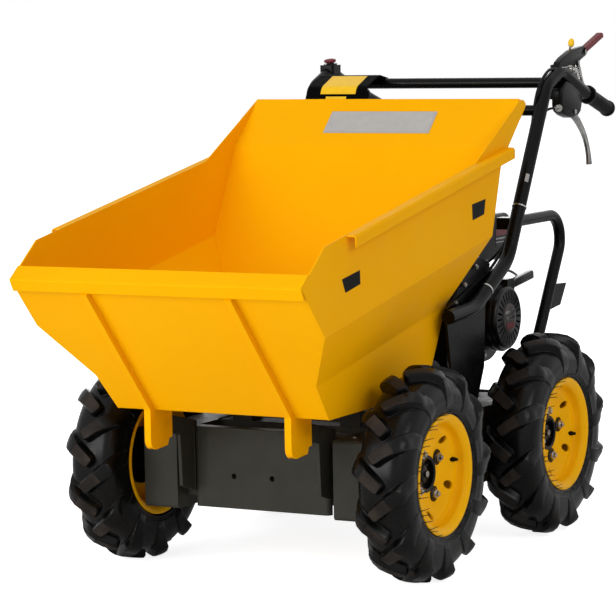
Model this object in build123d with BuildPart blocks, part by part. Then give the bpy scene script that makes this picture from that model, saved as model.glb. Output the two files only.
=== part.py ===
from build123d import *
import os
from math import cos, hypot, radians, sin, tan

# Walk-behind site dumper: four chain-driven wheels, a skip that tips over its front
# pivots, an engine behind the skip and two handlebars at the rear.
# +Z up, the front is at -Y, +X is the machine's left side, x = 0 is the middle plane.
# The wheels stand on z = 0. All sizes in millimetres.

# ---- wheels ----
tyre_radius = 205
tyre_width = 110
tyre_sectors = 24
tyre_crown_half = 30
tyre_crown_radius = 188
tyre_side_half = 53
tyre_side_radius = 158
tread_crown_half = 38
tread_shoulder_radius = 182
tread_foot_radius = 146
tread_lugs = 12
# (distance across, distance round) of the middle of a lug's blunt nose and of its heel
tread_nose = (-6, -22)
tread_heel = (57, 25)
tread_nose_width = 22
tread_nose_point = 7
tread_heel_width = 32
# The lugs' tops are flat: their corners reach the tyre's radius, and one corner is at the bottom.
tread_crown_radius = 202.65
tread_turn = 6.4
bead_radius = 101
rim_flange_radius = 115
rim_width = 88
rim_wall = 4
disc_offset = 8
disc_flat_radius = 66
hand_hole_radius = 8
hand_hole_circle = 78
hand_holes = 5
hand_hole_turn = -23
hub_radius = 35
hub_cap = 16
hub_flange_radius = 56
hub_flange = 10
hub_barrel_radius = 24
hub_barrel = 40
shaft_radius = 12.5
shaft_reach = 40
wheel_x = 313
wheelbase = 560
front_axle_y = -286
rear_axle_y = front_axle_y + wheelbase
axle_z = tyre_radius
running_clearance = 0.1

# ---- chain cases ----
case_inner_x = 171
case_width = 74
case_outer_x = case_inner_x + case_width
case_bottom = 121
case_top = 274
case_overhang = 93
case_corner = 8
case_front_y = front_axle_y - case_overhang
case_rear_y = rear_axle_y + case_overhang
bearing_radius = 42
bearing_depth = 7

# ---- front plate, ears and cross members ----
plate_wall = 6
plate_return = 12
plate_bottom = 124
plate_top = 280
plate_bend = 10
plate_y = -352
plate_hole_radius = 5.5
plate_hole_spacing = 84
plate_hole_x = -18
plate_hole_z = 187
member_depth = 50
member_bottom = 142
member_middle_y = -190
member_rear_offset = 26
ear_rise = 10
ear_face_y = -402
ear_neck_z = 270
ear_toe = (-397, 170)
ear_bottom = 155
rest_radius = 18
rest_block = 44
rest_height = 28
rest_x = 120
rest_gap = 0.3

# ---- skip ----
sheet = 3
floor_z = 330
floor_front_y = -495
panel_angle = 48.5
nose_z = 594
front_edge_angle = 38
fold_tilt = 10.2
lower_half_width = 220
fold_half_width = 236
top_half_width = 305
section_low = 332
fold_low = 492
fold_high = 608
side_top = 764
wing_height = 100
side_flange = 20
side_flange_drop = 21
flange_front_y = -560
flange_rear_y = 118
flange_inset = 20
# (y, z) corners of the wing behind the back panel, from its top to its root on the flange
wing_line = [(206, 887.5), (216, 880), (213, 873), (125, 793)]
upper_fold_rear_y = 50
lower_fold_rear_y = -20
bend_radius = 6
kink_y = -25
back_top_y = 193
back_top_z = 889
back_bend_y = 95
back_bend_z = 796
back_low_angle = 63
edge_overhang = 58
rim_drop = 22
rim_flare = 5
rim_shelf = 35
rib_x = 151.5
rib_width = 14
rib_depth = 12
pivot_y = -455
pivot_z = 300
lug_front_y = -513.5
lug_bottom = 255
lug_corner = 20
lug_web_angle = 45
# (y, z) corners of the lug, from its lower edge up to the floor
lug_heel = [(-453, 258), (-448, 270), (-436, 272), (-436, floor_z)]
pin_radius = 8
ear_thickness = 7
ear_radius = 18

# ---- handlebars, posts and guards ----
handle_x = 272
handle_radius = 14
# (y, z) corners of the tube's middle line, from the post to the grip
handle_corners = [(-85, 478), (30, 486), (190, 565), (390, 911), (463, 941), (590, 890), (700, 856)]
handle_bends = [140, 95, 42, 42, 60]
crossbar_radius = 11
crossbar_places = [(392, 917), (361, 861)]
grip_radius = 16
grip_collar_radius = 20
grip_collar = 14
grip_start = (602, 886.3)
grip_end = (724, 848.6)
post_wall = 5
post_foot_x = 200
post_front_y = -62
post_foot_y = 60
post_waist = (105, 360)
post_rear_y = 112
post_lean = 18
guard_radius = 12
guard_x = 241
guard_start_y = 262
guard_top_z = 636
guard_rear_y = 565
guard_foot_y = 350
guard_foot_bend_z = 296
guard_bends = [52, 60]
guard_tab = 30
guard_plate_wall = 4
guard_plate_outline = [(430, 492), (552, 486), (519, 442), (430, 433)]

# ---- engine and gearbox ----
crank_y = 345
crank_z = 430
deck_top = 324
deck_wall = 6
deck_half_width = 75
deck_front_y = 140
deck_rear_y = 450
rail_x = 60
rail_width = 30
gearbox_front_y = 0
gearbox_rear_y = 135
gearbox_bottom = 160
gearbox_top = 368
gearbox_left_x = 150
gearbox_right_x = -105
gearbox_corner = 45
cross_shaft_y = 67
cross_shaft_radius = 24
engine_left_x = 100
engine_right_x = -70
crankcase_front_y = 258
crankcase_rear_y = 438
crankcase_top = 528
crankcase_corner = 22
cylinder_tilt = 25
cylinder_half = 36
cylinder_start = 60
cylinder_end = 160
fin_count = 9
fin_wall = 3
fin_half = 50
head_half = 42
head_end = 190
shroud_radius = 92
dome_start_x = 150
dome_x = 203
dome_radius = 66
dome_edge = 7
dome_ring_height = 4
dome_ring_width = 4
dome_ring_pitch = 14.5
dome_rings = 3
dome_slots = 24
dome_slot_width = 4
dome_slot_inner = 36
dome_slot_outer = 57
dome_slot_depth = 8
starter_x = 190
starter_start = (383, 497)
starter_run = (99.3, 11.7)
starter_height = 18
rope_boss_half = 8
# The rope's boss ends in a face square to the grip, which the grip rests on.
rope_boss = [(350, 480), (384.99, 480), (381.47, 510), (350, 510)]
tank_left_x = 150
tank_right_x = -60
tank_front_y = 290
tank_rear_y = 482
tank_bottom = 545
tank_top = 642
tank_corner = 28
cap_radius = 26
cap_height = 20
tank_foot_y = 375
tank_foot_spread = 70
tank_foot_radius = 9
intake_outline = [(172, 500), (232, 500), (232, 552), (172, 552)]
carburettor_left_x = 95
carburettor_right_x = 40
exhaust_left_x = -20
exhaust_right_x = -70
cleaner_left_x = 130
cleaner_right_x = 12
cleaner_front_y = 140
cleaner_rear_y = 250
cleaner_bottom = 552
cleaner_top = 622
muffler_left_x = 2
muffler_right_x = -98
muffler_top = 632
muffler_corner = 14
belt_left_x = -110
belt_wall = 40
belt_small_y = 75
belt_small_z = 330
belt_small_radius = 45
belt_large_radius = 60
belt_boss_radius = 30

# ---- controls ----
console_right_x = -243
console_left_x = -101
console_wall = 3
console_bend = 20
# (y, z) corners of the hood over the upper crossbar, from its front edge to its rear edge
console_line = [(404, 925.8), (362, 933.8), (306, 910), (290, 868)]
switch_y = 462
switch_bottom = 936
switch_height = 20
switch_width = 34
switch_length = 40
switch_corner = 6
holder_corner = 4
holder_inner_x = 250
holder_web = 6
# (y, z) outlines of the lever's perch below the tube, the web beside it and the bracket above it
perch_outer_x = 278
perch_outline = [
    (442, 853), (472, 845), (507, 839), (537, 845), (549, 873), (549, 896), (500, 915), (450, 905)]
web_outline = [(452, 880), (500, 890), (500, 962), (455, 950)]
bracket_outer_x = 282
bracket_outline = [
    (438, 946), (450, 960), (480, 971), (520, 980), (576, 988), (566, 970), (546, 958), (500, 948),
    (446, 932)]
lever_wall = 7
lever_width = 12
lever_bend = 30
# (y, z) corners of the hand lever, from its pivot to its tip
lever_line = [(515, 849), (558, 824), (590, 786), (602, 738)]
tip_lever_wall = 4
tip_lever_width = 10
tip_lever_line = [(548, 966), (600, 985)]
tip_grip_start = (585, 979.5)
tip_grip_run = (91, 30.5)
tip_grip_width = 17
tip_grip_height = 12

os.makedirs("parts", exist_ok=True)


def keep(piece, name):
    """Label one finished piece and write it."""
    piece.label = name
    export_step(piece, f"parts/{name}.step")


def keep_pair(piece, name):
    """Write the left piece, and its mirror image on the right."""
    keep(mirror(piece, about=Plane.YZ), f"{name}_right")
    keep(piece, f"{name}_left")


def keep_both(piece, name):
    """Write the left piece and its mirror image as one node."""
    with BuildPart() as both:
        add(piece)
        mirror(about=Plane.YZ)
    keep(both.part, name)


def side_plane(x):
    """A sketch plane across the machine: its own x is +Y and its own y is +Z."""
    return Plane(origin=(x, 0, 0), x_dir=(0, 1, 0), z_dir=(1, 0, 0))


def tube(x, corners, radii, radius):
    """A bent round tube in the plane at x, through (y, z) corners with the given bends."""
    with BuildPart() as bent:
        with BuildLine(side_plane(x)) as path:
            FilletPolyline(*corners, radius=radii)
        with BuildSketch(Plane(origin=path.line @ 0, z_dir=path.line % 0)):
            Circle(radius)
        sweep()
    return bent.part


def bar(x_low, x_high, y, z, radius):
    """A round bar along X."""
    with BuildPart() as rod:
        with BuildSketch(side_plane(x_low).offset(0)):
            with Locations((y, z)):
                Circle(radius)
        extrude(amount=x_high - x_low)
    return rod.part


def plate(x_low, x_high, outline):
    """A flat piece between two x, with a (y, z) outline."""
    with BuildPart() as flat:
        with BuildSketch(side_plane(x_low)):
            with BuildLine():
                Polyline(*outline, close=True)
            make_face()
        extrude(amount=x_high - x_low)
    return flat.part


def inset(points, distance):
    """An open outline moved to its left, with its corners mitred."""
    moved = []
    for index, (u, v) in enumerate(points):
        normals = []
        for a, b in ((index - 1, index), (index, index + 1)):
            if a >= 0 and b < len(points):
                du = points[b][0] - points[a][0]
                dv = points[b][1] - points[a][1]
                normals.append((-dv / hypot(du, dv), du / hypot(du, dv)))
        nu = sum(n[0] for n in normals) / len(normals)
        nv = sum(n[1] for n in normals) / len(normals)
        stretch = distance / (nu * nu + nv * nv)
        moved.append((u + nu * stretch, v + nv * stretch))
    return moved


# ======== the skip ========
# The front panel's outer face runs up and forward from the floor's front corner.
panel_up = (-cos(radians(panel_angle)), sin(radians(panel_angle)))
panel_out = (-sin(radians(panel_angle)), -cos(radians(panel_angle)))
nose_y = floor_front_y - (nose_z - floor_z) / tan(radians(panel_angle))
# The side's top line and its folds are parallel, rising to the rear by fold_tilt.
tilt_cos = cos(radians(fold_tilt))
tilt_sin = sin(radians(fold_tilt))
fold_plane = Plane(origin=(0, 0, 0), x_dir=(1, 0, 0), z_dir=(0, -tilt_cos, -tilt_sin))
skip_reach = 900


def on_fold(y, height):
    """The z at y of a line parallel to the folds, at that height across them."""
    return (height + y * tilt_sin) / tilt_cos


# The front edge rises from the nose and meets the side's top line at the front corner.
edge_cos = cos(radians(front_edge_angle))
edge_sin = sin(radians(front_edge_angle))
edge_run = (side_top - nose_z * tilt_cos + nose_y * tilt_sin) / (
    edge_sin * tilt_cos - edge_cos * tilt_sin)
corner = (nose_y + edge_run * edge_cos, nose_z + edge_run * edge_sin)
# The back panel rises from the floor, bends and leans out to the top.
back_floor_y = back_bend_y - (back_bend_z - floor_z) / tan(radians(back_low_angle))
tray_line = [(nose_y, nose_z), (floor_front_y, floor_z), (back_floor_y, floor_z),
             (back_bend_y, back_bend_z), (back_top_y, back_top_z)]
# The side panels run on past the back panel as a stiff edge, wider towards the floor.
side_outline = [
    (floor_front_y, floor_z), (nose_y, nose_z), corner,
    (kink_y, on_fold(kink_y, side_top)), (back_top_y, back_top_z), *wing_line,
    (flange_rear_y - flange_inset, on_fold(flange_rear_y - flange_inset, side_top - side_flange_drop)),
    (upper_fold_rear_y, on_fold(upper_fold_rear_y, fold_high)),
    (lower_fold_rear_y, on_fold(lower_fold_rear_y, fold_low)),
    (back_floor_y + edge_overhang, floor_z)]
# Cross-section of the left side, seen along the folds: (x, height across the folds).
wall_section = [(lower_half_width, section_low), (fold_half_width, fold_low),
                (top_half_width, fold_high), (top_half_width, side_top + wing_height)]
flange_section = [(top_half_width, side_top), (top_half_width + side_flange, side_top),
                  (top_half_width + side_flange, side_top - side_flange_drop)]

with BuildPart() as side_flange_strip:
    with BuildSketch(fold_plane):
        with BuildLine():
            FilletPolyline(*flange_section, radius=bend_radius)
            offset(amount=sheet, side=Side.RIGHT)
        make_face()
    extrude(amount=skip_reach, both=True)
    with BuildSketch(side_plane(0)):
        with Locations(((flange_front_y + flange_rear_y) / 2, side_top)):
            Rectangle(flange_rear_y - flange_front_y, skip_reach)
    extrude(amount=skip_reach, mode=Mode.INTERSECT)

with BuildPart() as skip_side:
    with BuildSketch(fold_plane):
        with BuildLine():
            FilletPolyline(*wall_section, radius=bend_radius)
            offset(amount=sheet, side=Side.LEFT)
        make_face()
    extrude(amount=skip_reach, both=True)
    with BuildSketch(side_plane(0)):
        with BuildLine():
            Polyline(*side_outline, close=True)
        make_face()
    extrude(amount=skip_reach, mode=Mode.INTERSECT)
    add(side_flange_strip.part)
keep_pair(skip_side.part, "skip_side")

# Front panel, floor and back panel are one folded sheet between the two sides.
inner_section = inset(wall_section, sheet)
with BuildPart() as skip_tray:
    with BuildSketch(side_plane(0)):
        with BuildLine():
            FilletPolyline(*tray_line, radius=bend_radius + sheet)
            offset(amount=sheet, side=Side.LEFT)
        make_face()
    extrude(amount=top_half_width, both=True)
    with BuildSketch(fold_plane):
        with BuildLine():
            FilletPolyline(*inner_section, radius=[bend_radius + sheet, bend_radius - sheet])
            Polyline(inner_section[-1], (0, inner_section[-1][1]), (0, section_low - wing_height),
                     (inner_section[0][0], section_low - wing_height), inner_section[0])
        make_face()
        mirror(about=Plane.YZ)
    extrude(amount=skip_reach, both=True, mode=Mode.INTERSECT)
keep(skip_tray.part, "skip_tray")

# The front rim is an angle over the edge: a drop in front of the panel and a shelf on top.
with BuildPart() as skip_rim:
    with BuildSketch(side_plane(-top_half_width)):
        with BuildLine():
            Polyline((nose_y - rim_drop * panel_up[0] + rim_flare * panel_out[0],
                      nose_z - rim_drop * panel_up[1] + rim_flare * panel_out[1]), (nose_y, nose_z),
                      (nose_y + rim_shelf * edge_cos, nose_z + rim_shelf * edge_sin))
            offset(amount=sheet, side=Side.LEFT)
        make_face()
    extrude(amount=2 * top_half_width)
    add(skip_tray.part, mode=Mode.SUBTRACT)
keep(skip_rim.part, "skip_front_rim")

# Each rib is a channel on the front panel whose cheeks run down past the floor as a lug.
rib_top = (nose_y - (rim_drop + 1) * panel_up[0], nose_z - (rim_drop + 1) * panel_up[1])
rib_front = (rib_top[0] + rib_depth * panel_out[0], rib_top[1] + rib_depth * panel_out[1])
lug_top_z = rib_front[1] - (lug_front_y - rib_front[0]) * tan(radians(panel_angle))
lug_corner_y = lug_front_y + lug_corner
lug_corner_z = lug_bottom + lug_corner
lug_rear_y = lug_heel[-1][0]
web_step = sheet / sin(radians(panel_angle))


def on_lug_corner(angle, radius):
    """The point at that angle below the front, on an arc about the lug's corner centre."""
    return (lug_corner_y - radius * cos(radians(angle)), lug_corner_z - radius * sin(radians(angle)))


with BuildPart() as skip_rib:
    with BuildSketch(side_plane(rib_x - rib_width / 2)):
        with BuildLine():
            Polyline((lug_corner_y, lug_bottom), *lug_heel, (floor_front_y, floor_z), rib_top, rib_front,
                     (lug_front_y, lug_top_z), (lug_front_y, lug_corner_z))
            ThreePointArc((lug_front_y, lug_corner_z), on_lug_corner(45, lug_corner),
                          (lug_corner_y, lug_bottom))
        make_face()
    extrude(amount=rib_width)
    with BuildSketch(side_plane(rib_x - rib_width / 2 + sheet)):
        with BuildLine():
            web_end = on_lug_corner(lug_web_angle, lug_corner - sheet)
            Polyline((lug_front_y + sheet, lug_corner_z),
                     (lug_front_y + sheet, lug_top_z), (rib_front[0] + web_step, rib_front[1]),
                     (rib_top[0] + rib_depth, rib_top[1] + rib_depth),
                     (lug_rear_y + rib_depth, floor_z + rib_depth),
                     (lug_rear_y + rib_depth, lug_bottom - rib_depth),
                     (web_end[0], lug_bottom - rib_depth), web_end)
            ThreePointArc(web_end, on_lug_corner(lug_web_angle / 2, lug_corner - sheet),
                          (lug_front_y + sheet, lug_corner_z))
        make_face()
    extrude(amount=rib_width - 2 * sheet, mode=Mode.SUBTRACT)
    with BuildSketch(side_plane(rib_x - rib_width)):
        with Locations((pivot_y, pivot_z)):
            Circle(pin_radius + running_clearance)
    extrude(amount=2 * rib_width, mode=Mode.SUBTRACT)
keep_both(skip_rib.part, "skip_ribs")

# ======== wheels ========
def wheel_plane(side, y):
    """Turned sections are drawn as (radius, distance outwards) on this plane."""
    return Plane(origin=(side * wheel_x, y, axle_z), x_dir=(0, 0, 1), z_dir=(0, side, 0))


def tread_lug(side):
    """One bar at the top of the tyre, from its pointed nose near the middle out to its heel."""
    nose = Vector(*tread_nose)
    heel = Vector(*tread_heel)
    along = (heel - nose).normalized()
    across = Vector(-along.Y, along.X)
    corners = [
        heel + across * (tread_heel_width / 2), nose + across * (tread_nose_width / 2),
        nose - along * tread_nose_point,
        nose - across * (tread_nose_width / 2), heel - across * (tread_heel_width / 2)]
    with BuildPart() as lug:
        with BuildSketch(Plane.XY.offset(tread_foot_radius)):
            with BuildLine():
                Polyline(*[(side * corner.X, corner.Y) for corner in corners], close=True)
            make_face()
        extrude(amount=tyre_radius - tread_foot_radius)
        add(tread_limit.part, mode=Mode.INTERSECT)
    return lug.part


half_width = tyre_width / 2
bead_half = rim_width / 2
bead_flange_radius = rim_flange_radius + running_clearance
with BuildPart() as tread_limit:
    with BuildSketch(Plane.XZ):
        with BuildLine():
            Polyline((-half_width, bead_radius), (-half_width, tread_shoulder_radius),
                     (-tread_crown_half, tread_crown_radius), (tread_crown_half, tread_crown_radius),
                     (half_width, tread_shoulder_radius), (half_width, bead_radius), close=True)
        make_face()
    extrude(amount=tyre_width, both=True)

# The carcass is a ring of flat sectors.
sector_half_run = tyre_radius * tan(radians(180 / tyre_sectors))
with BuildPart() as tyre_sector:
    with BuildSketch(Plane.XZ):
        with BuildLine():
            Polyline((-bead_half, bead_radius), (-bead_half, bead_flange_radius),
                     (-tyre_side_half, tyre_side_radius), (-tyre_crown_half, tyre_crown_radius),
                     (tyre_crown_half, tyre_crown_radius), (tyre_side_half, tyre_side_radius),
                     (bead_half, bead_flange_radius), (bead_half, bead_radius), close=True)
        make_face()
    extrude(amount=sector_half_run, both=True)
    with BuildSketch(side_plane(-half_width)):
        with BuildLine():
            Polyline((0, 0), (-sector_half_run, tyre_radius), (sector_half_run, tyre_radius), close=True)
        make_face()
    extrude(amount=tyre_width, mode=Mode.INTERSECT)

left_lug = tread_lug(1)
right_lug = tread_lug(-1)
with BuildPart() as tyre:
    add([Rot(360 / tyre_sectors * number, 0, 0) * tyre_sector.part for number in range(tyre_sectors)])
    for number in range(tread_lugs):
        add(Rot(tread_turn + 360 / tread_lugs * number, 0, 0) * left_lug)
        add(Rot(tread_turn + 360 / tread_lugs * (number + 0.5), 0, 0) * right_lug)

# Half of the rim's wall, from its outer flange to the well: (radius, distance from the middle).
rim_line = [
    (rim_flange_radius, -rim_width / 2), (bead_radius, -rim_width / 2),
    (bead_radius, rim_width / 2), (rim_flange_radius, rim_width / 2)]
disc_back = disc_offset - rim_wall
disc_line = [
    (hub_radius + running_clearance, disc_offset), (disc_flat_radius, disc_offset),
    (disc_flat_radius + 18, disc_offset + 14), (bead_radius - rim_wall, disc_offset + 14)]
wheels = [
    # name, side, y of the axle
    ("front_left", 1, front_axle_y), ("front_right", -1, front_axle_y),
    ("rear_left", 1, rear_axle_y), ("rear_right", -1, rear_axle_y)]
for name, side, y in wheels:
    axle = Axis((side * wheel_x, y, axle_z), (1, 0, 0))
    keep(Pos(side * wheel_x, y, axle_z) * tyre.part, f"tyre_{name}")

    with BuildPart() as rim:
        with BuildSketch(wheel_plane(side, y)):
            with BuildLine():
                Polyline(*rim_line)
                offset(amount=rim_wall, side=Side.LEFT)
            make_face()
            with BuildLine():
                Polyline(*disc_line)
                offset(amount=rim_wall, side=Side.RIGHT)
            make_face()
        revolve(axis=axle)
        with BuildSketch(side_plane(side * (wheel_x + disc_offset))):
            with Locations((y, axle_z)):
                with PolarLocations(hand_hole_circle, hand_holes, start_angle=hand_hole_turn):
                    Circle(hand_hole_radius)
        extrude(amount=2 * rim_width, both=True, mode=Mode.SUBTRACT)
    keep(rim.part, f"rim_{name}")

    shaft_end = case_outer_x - shaft_reach - wheel_x
    with BuildPart() as hub:
        with BuildSketch(wheel_plane(side, y)):
            with BuildLine():
                Polyline(
                    (0, shaft_end), (shaft_radius, shaft_end), (shaft_radius, -hub_barrel),
                    (hub_barrel_radius, -hub_barrel), (hub_barrel_radius, disc_back - hub_flange),
                    (hub_flange_radius, disc_back - hub_flange), (hub_flange_radius, disc_back),
                    (hub_radius, disc_back), (hub_radius, disc_back + hub_cap),
                    (0, disc_back + hub_cap), close=True)
            make_face()
        revolve(axis=axle)
    keep(hub.part, f"hub_{name}")

# ======== frame ========
with BuildPart() as chain_case:
    with BuildSketch(side_plane(case_inner_x)):
        with Locations(((case_front_y + case_rear_y) / 2, (case_bottom + case_top) / 2)):
            RectangleRounded(case_rear_y - case_front_y, case_top - case_bottom, case_corner)
    extrude(amount=case_width)
    with BuildSketch(side_plane(case_outer_x)):
        with Locations((front_axle_y, axle_z), (rear_axle_y, axle_z)):
            Circle(bearing_radius)
    extrude(amount=bearing_depth)
    with BuildSketch(side_plane(case_outer_x + bearing_depth)):
        with Locations((front_axle_y, axle_z), (rear_axle_y, axle_z)):
            Circle(shaft_radius + running_clearance)
    extrude(amount=-(bearing_depth + shaft_reach + rest_gap), mode=Mode.SUBTRACT)
keep_both(chain_case.part, "chain_cases")

# The front plate closes the space between the two ears.
plate_half_width = rib_x - ear_thickness / 2
member_front_y = plate_y + plate_return
with BuildPart() as front_plate:
    with BuildSketch(Plane.XY.offset(plate_bottom)):
        with BuildLine():
            FilletPolyline((-plate_half_width, member_front_y), (-plate_half_width, plate_y),
                           (plate_half_width, plate_y), (plate_half_width, member_front_y),
                           radius=plate_bend)
            offset(amount=plate_wall, side=Side.LEFT)
        make_face()
    extrude(amount=plate_top - plate_bottom)
    with BuildSketch(Plane.XZ.offset(-plate_y)):
        with Locations((plate_hole_x, plate_hole_z)):
            with GridLocations(plate_hole_spacing, 0, 2, 1):
                Circle(plate_hole_radius)
    extrude(amount=2 * plate_wall, both=True, mode=Mode.SUBTRACT)
keep(front_plate.part, "front_plate")

member_rear_y = rear_axle_y + member_rear_offset
member_middle_z = (member_bottom + case_top) / 2
with BuildPart() as cross_members:
    with BuildSketch(side_plane(-case_inner_x)):
        with Locations((member_front_y + member_depth / 2, member_middle_z),
                       (member_middle_y, member_middle_z), (member_rear_y, member_middle_z)):
            Rectangle(member_depth, case_top - member_bottom)
    extrude(amount=2 * case_inner_x)
    with BuildSketch(Plane.XY.offset(case_top)):
        with Locations((-rest_x, member_middle_y), (rest_x, member_middle_y)):
            Rectangle(rest_block, rest_block)
    extrude(amount=rest_height)
keep(cross_members.part, "cross_members")

with BuildPart() as rest_pads:
    with BuildSketch(Plane.XY.offset(case_top + rest_height)):
        with Locations((-rest_x, member_middle_y), (rest_x, member_middle_y)):
            Circle(rest_radius)
    extrude(amount=floor_z - rest_gap - case_top - rest_height)
keep(rest_pads.part, "rest_pads")

keep(plate(-case_inner_x, case_inner_x, [
    (case_rear_y - plate_wall, plate_bottom), (case_rear_y, plate_bottom),
    (case_rear_y, case_top), (case_rear_y - plate_wall, case_top)]), "rear_plate")

# Each ear is a plate whose nose reaches forward between the lug's cheeks, round the pin.
with BuildPart() as pivot_ear:
    with BuildSketch(side_plane(rib_x - ear_thickness / 2)):
        with BuildLine():
            Polyline((member_front_y, ear_bottom), (plate_y, ear_bottom), ear_toe,
                     (ear_face_y, ear_neck_z), (pivot_y, pivot_z - ear_radius),
                     (pivot_y, pivot_z + ear_radius), (member_front_y, plate_top + ear_rise), close=True)
        make_face()
        with Locations((pivot_y, pivot_z)):
            Circle(ear_radius)
    extrude(amount=ear_thickness)
    with BuildSketch(side_plane(0)):
        with Locations((pivot_y, pivot_z)):
            Circle(pin_radius)
    extrude(amount=2 * rib_x, mode=Mode.SUBTRACT)
keep_both(pivot_ear.part, "pivot_ears")
keep_both(bar(rib_x - rib_width / 2, rib_x + rib_width / 2, pivot_y, pivot_z, pin_radius), "pivot_pins")

# ======== engine and gearbox ========
with BuildPart() as gearbox:
    with BuildSketch(side_plane(gearbox_right_x)):
        with Locations(((gearbox_front_y + gearbox_rear_y) / 2, (gearbox_bottom + gearbox_top) / 2)):
            RectangleRounded(gearbox_rear_y - gearbox_front_y, gearbox_top - gearbox_bottom, gearbox_corner)
    extrude(amount=gearbox_left_x - gearbox_right_x)
    with BuildSketch(side_plane(-case_inner_x)):
        with Locations((cross_shaft_y, axle_z)):
            Circle(cross_shaft_radius)
    extrude(amount=2 * case_inner_x)
    with BuildSketch(side_plane(belt_left_x)):
        with Locations((belt_small_y, belt_small_z)):
            Circle(belt_boss_radius)
    extrude(amount=gearbox_right_x - belt_left_x)
keep(gearbox.part, "gearbox")

deck_middle_y = (deck_front_y + deck_rear_y) / 2
deck_length = deck_rear_y - deck_front_y
with BuildPart() as engine_bed:
    with BuildSketch(Plane.XY.offset(case_top)):
        with Locations((-rail_x, deck_middle_y), (rail_x, deck_middle_y)):
            Rectangle(rail_width, deck_length)
    extrude(amount=deck_top - deck_wall - case_top)
    with BuildSketch(Plane.XY.offset(deck_top - deck_wall)):
        with Locations((0, deck_middle_y)):
            Rectangle(2 * deck_half_width, deck_length)
    extrude(amount=deck_wall)
keep(engine_bed.part, "engine_bed")

# The crankcase stands on the bed; the finned cylinder leans forward from it.
cylinder_axis = Plane(origin=(0, crank_y, crank_z), x_dir=(1, 0, 0),
                      z_dir=(0, -cos(radians(cylinder_tilt)), sin(radians(cylinder_tilt))))
cylinder_x = (engine_left_x + engine_right_x) / 2
fin_pitch = (cylinder_end - cylinder_start) / fin_count
with BuildPart() as engine_block:
    with BuildSketch(side_plane(engine_right_x)):
        with Locations(((crankcase_front_y + crankcase_rear_y) / 2, (deck_top + crankcase_top) / 2)):
            RectangleRounded(
                crankcase_rear_y - crankcase_front_y, crankcase_top - deck_top, crankcase_corner)
    extrude(amount=engine_left_x - engine_right_x)
    with BuildSketch(cylinder_axis):
        with Locations((cylinder_x, 0)):
            Rectangle(2 * cylinder_half, 2 * cylinder_half)
    extrude(amount=cylinder_end)
    for fin in range(fin_count):
        with BuildSketch(cylinder_axis.offset(cylinder_start + (fin + 0.5) * fin_pitch)):
            with Locations((cylinder_x, 0)):
                RectangleRounded(2 * fin_half, 2 * fin_half, fin_half / 4)
        extrude(amount=fin_wall)
    with BuildSketch(cylinder_axis.offset(cylinder_end)):
        with Locations((cylinder_x, 0)):
            RectangleRounded(2 * head_half, 2 * head_half, head_half / 4)
    extrude(amount=head_end - cylinder_end)
    with BuildSketch(side_plane(belt_left_x)):
        with Locations((crank_y, crank_z)):
            Circle(belt_boss_radius)
    extrude(amount=engine_right_x - belt_left_x)
    with BuildSketch(side_plane(carburettor_right_x)):
        with BuildLine():
            Polyline(*intake_outline, close=True)
        make_face()
    extrude(amount=carburettor_left_x - carburettor_right_x)
    with BuildSketch(side_plane(exhaust_right_x)):
        with BuildLine():
            Polyline(*intake_outline, close=True)
        make_face()
    extrude(amount=exhaust_left_x - exhaust_right_x)
keep(engine_block.part, "engine_block")

# Fan housing: a round drum, then the recoil cover with three rings, a slotted face and the rope's boss.
with BuildPart() as recoil_shroud:
    with BuildSketch(side_plane(engine_left_x)):
        with Locations((crank_y, crank_z)):
            Circle(shroud_radius)
    extrude(amount=dome_start_x - engine_left_x)
    with BuildSketch(side_plane(dome_start_x)):
        with Locations((crank_y, crank_z)):
            Circle(dome_radius)
    extrude(amount=dome_x - dome_start_x)
    for ring in range(dome_rings):
        with BuildSketch(side_plane(dome_start_x + (ring + 0.5) * dome_ring_pitch)):
            with Locations((crank_y, crank_z)):
                Circle(dome_radius + dome_ring_height)
        extrude(amount=dome_ring_width)
    fillet(recoil_shroud.faces().sort_by(Axis.X)[-1].edges(), radius=dome_edge)
    with BuildSketch(side_plane(dome_x)):
        with Locations((crank_y, crank_z)):
            with PolarLocations((dome_slot_inner + dome_slot_outer) / 2, dome_slots):
                Rectangle(dome_slot_outer - dome_slot_inner, dome_slot_width)
    extrude(amount=-dome_slot_depth, mode=Mode.SUBTRACT)
    with BuildSketch(side_plane(dome_start_x)):
        with BuildLine():
            Polyline(*rope_boss, close=True)
        make_face()
    extrude(amount=starter_x + rope_boss_half - dome_start_x)
keep(recoil_shroud.part, "recoil_shroud")

with BuildPart() as starter_grip:
    with BuildSketch(Plane(origin=(starter_x, starter_start[0], starter_start[1]), x_dir=(1, 0, 0),
                           z_dir=(0, starter_run[0], starter_run[1]))):
        RectangleRounded(2 * rope_boss_half, starter_height, rope_boss_half / 2)
    extrude(amount=hypot(*starter_run))
keep(starter_grip.part, "starter_grip")

with BuildPart() as tank:
    with BuildSketch(side_plane(tank_right_x)):
        with Locations(((tank_front_y + tank_rear_y) / 2, (tank_bottom + tank_top) / 2)):
            RectangleRounded(tank_rear_y - tank_front_y, tank_top - tank_bottom, tank_corner)
    extrude(amount=tank_left_x - tank_right_x)
    fillet(tank.faces().filter_by(Axis.X).edges(), radius=tank_corner / 3)
    with BuildSketch(Plane.XY.offset(tank_top)):
        with Locations(((tank_left_x + tank_right_x) / 2, (tank_front_y + tank_rear_y) / 2)):
            Circle(cap_radius)
    extrude(amount=cap_height)
    with BuildSketch(Plane.XY.offset(crankcase_top)):
        with Locations((cylinder_x, tank_foot_y)):
            with GridLocations(tank_foot_spread, tank_foot_spread, 2, 2):
                Circle(tank_foot_radius)
    extrude(amount=tank_bottom - crankcase_top)
keep(tank.part, "fuel_tank")

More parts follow.
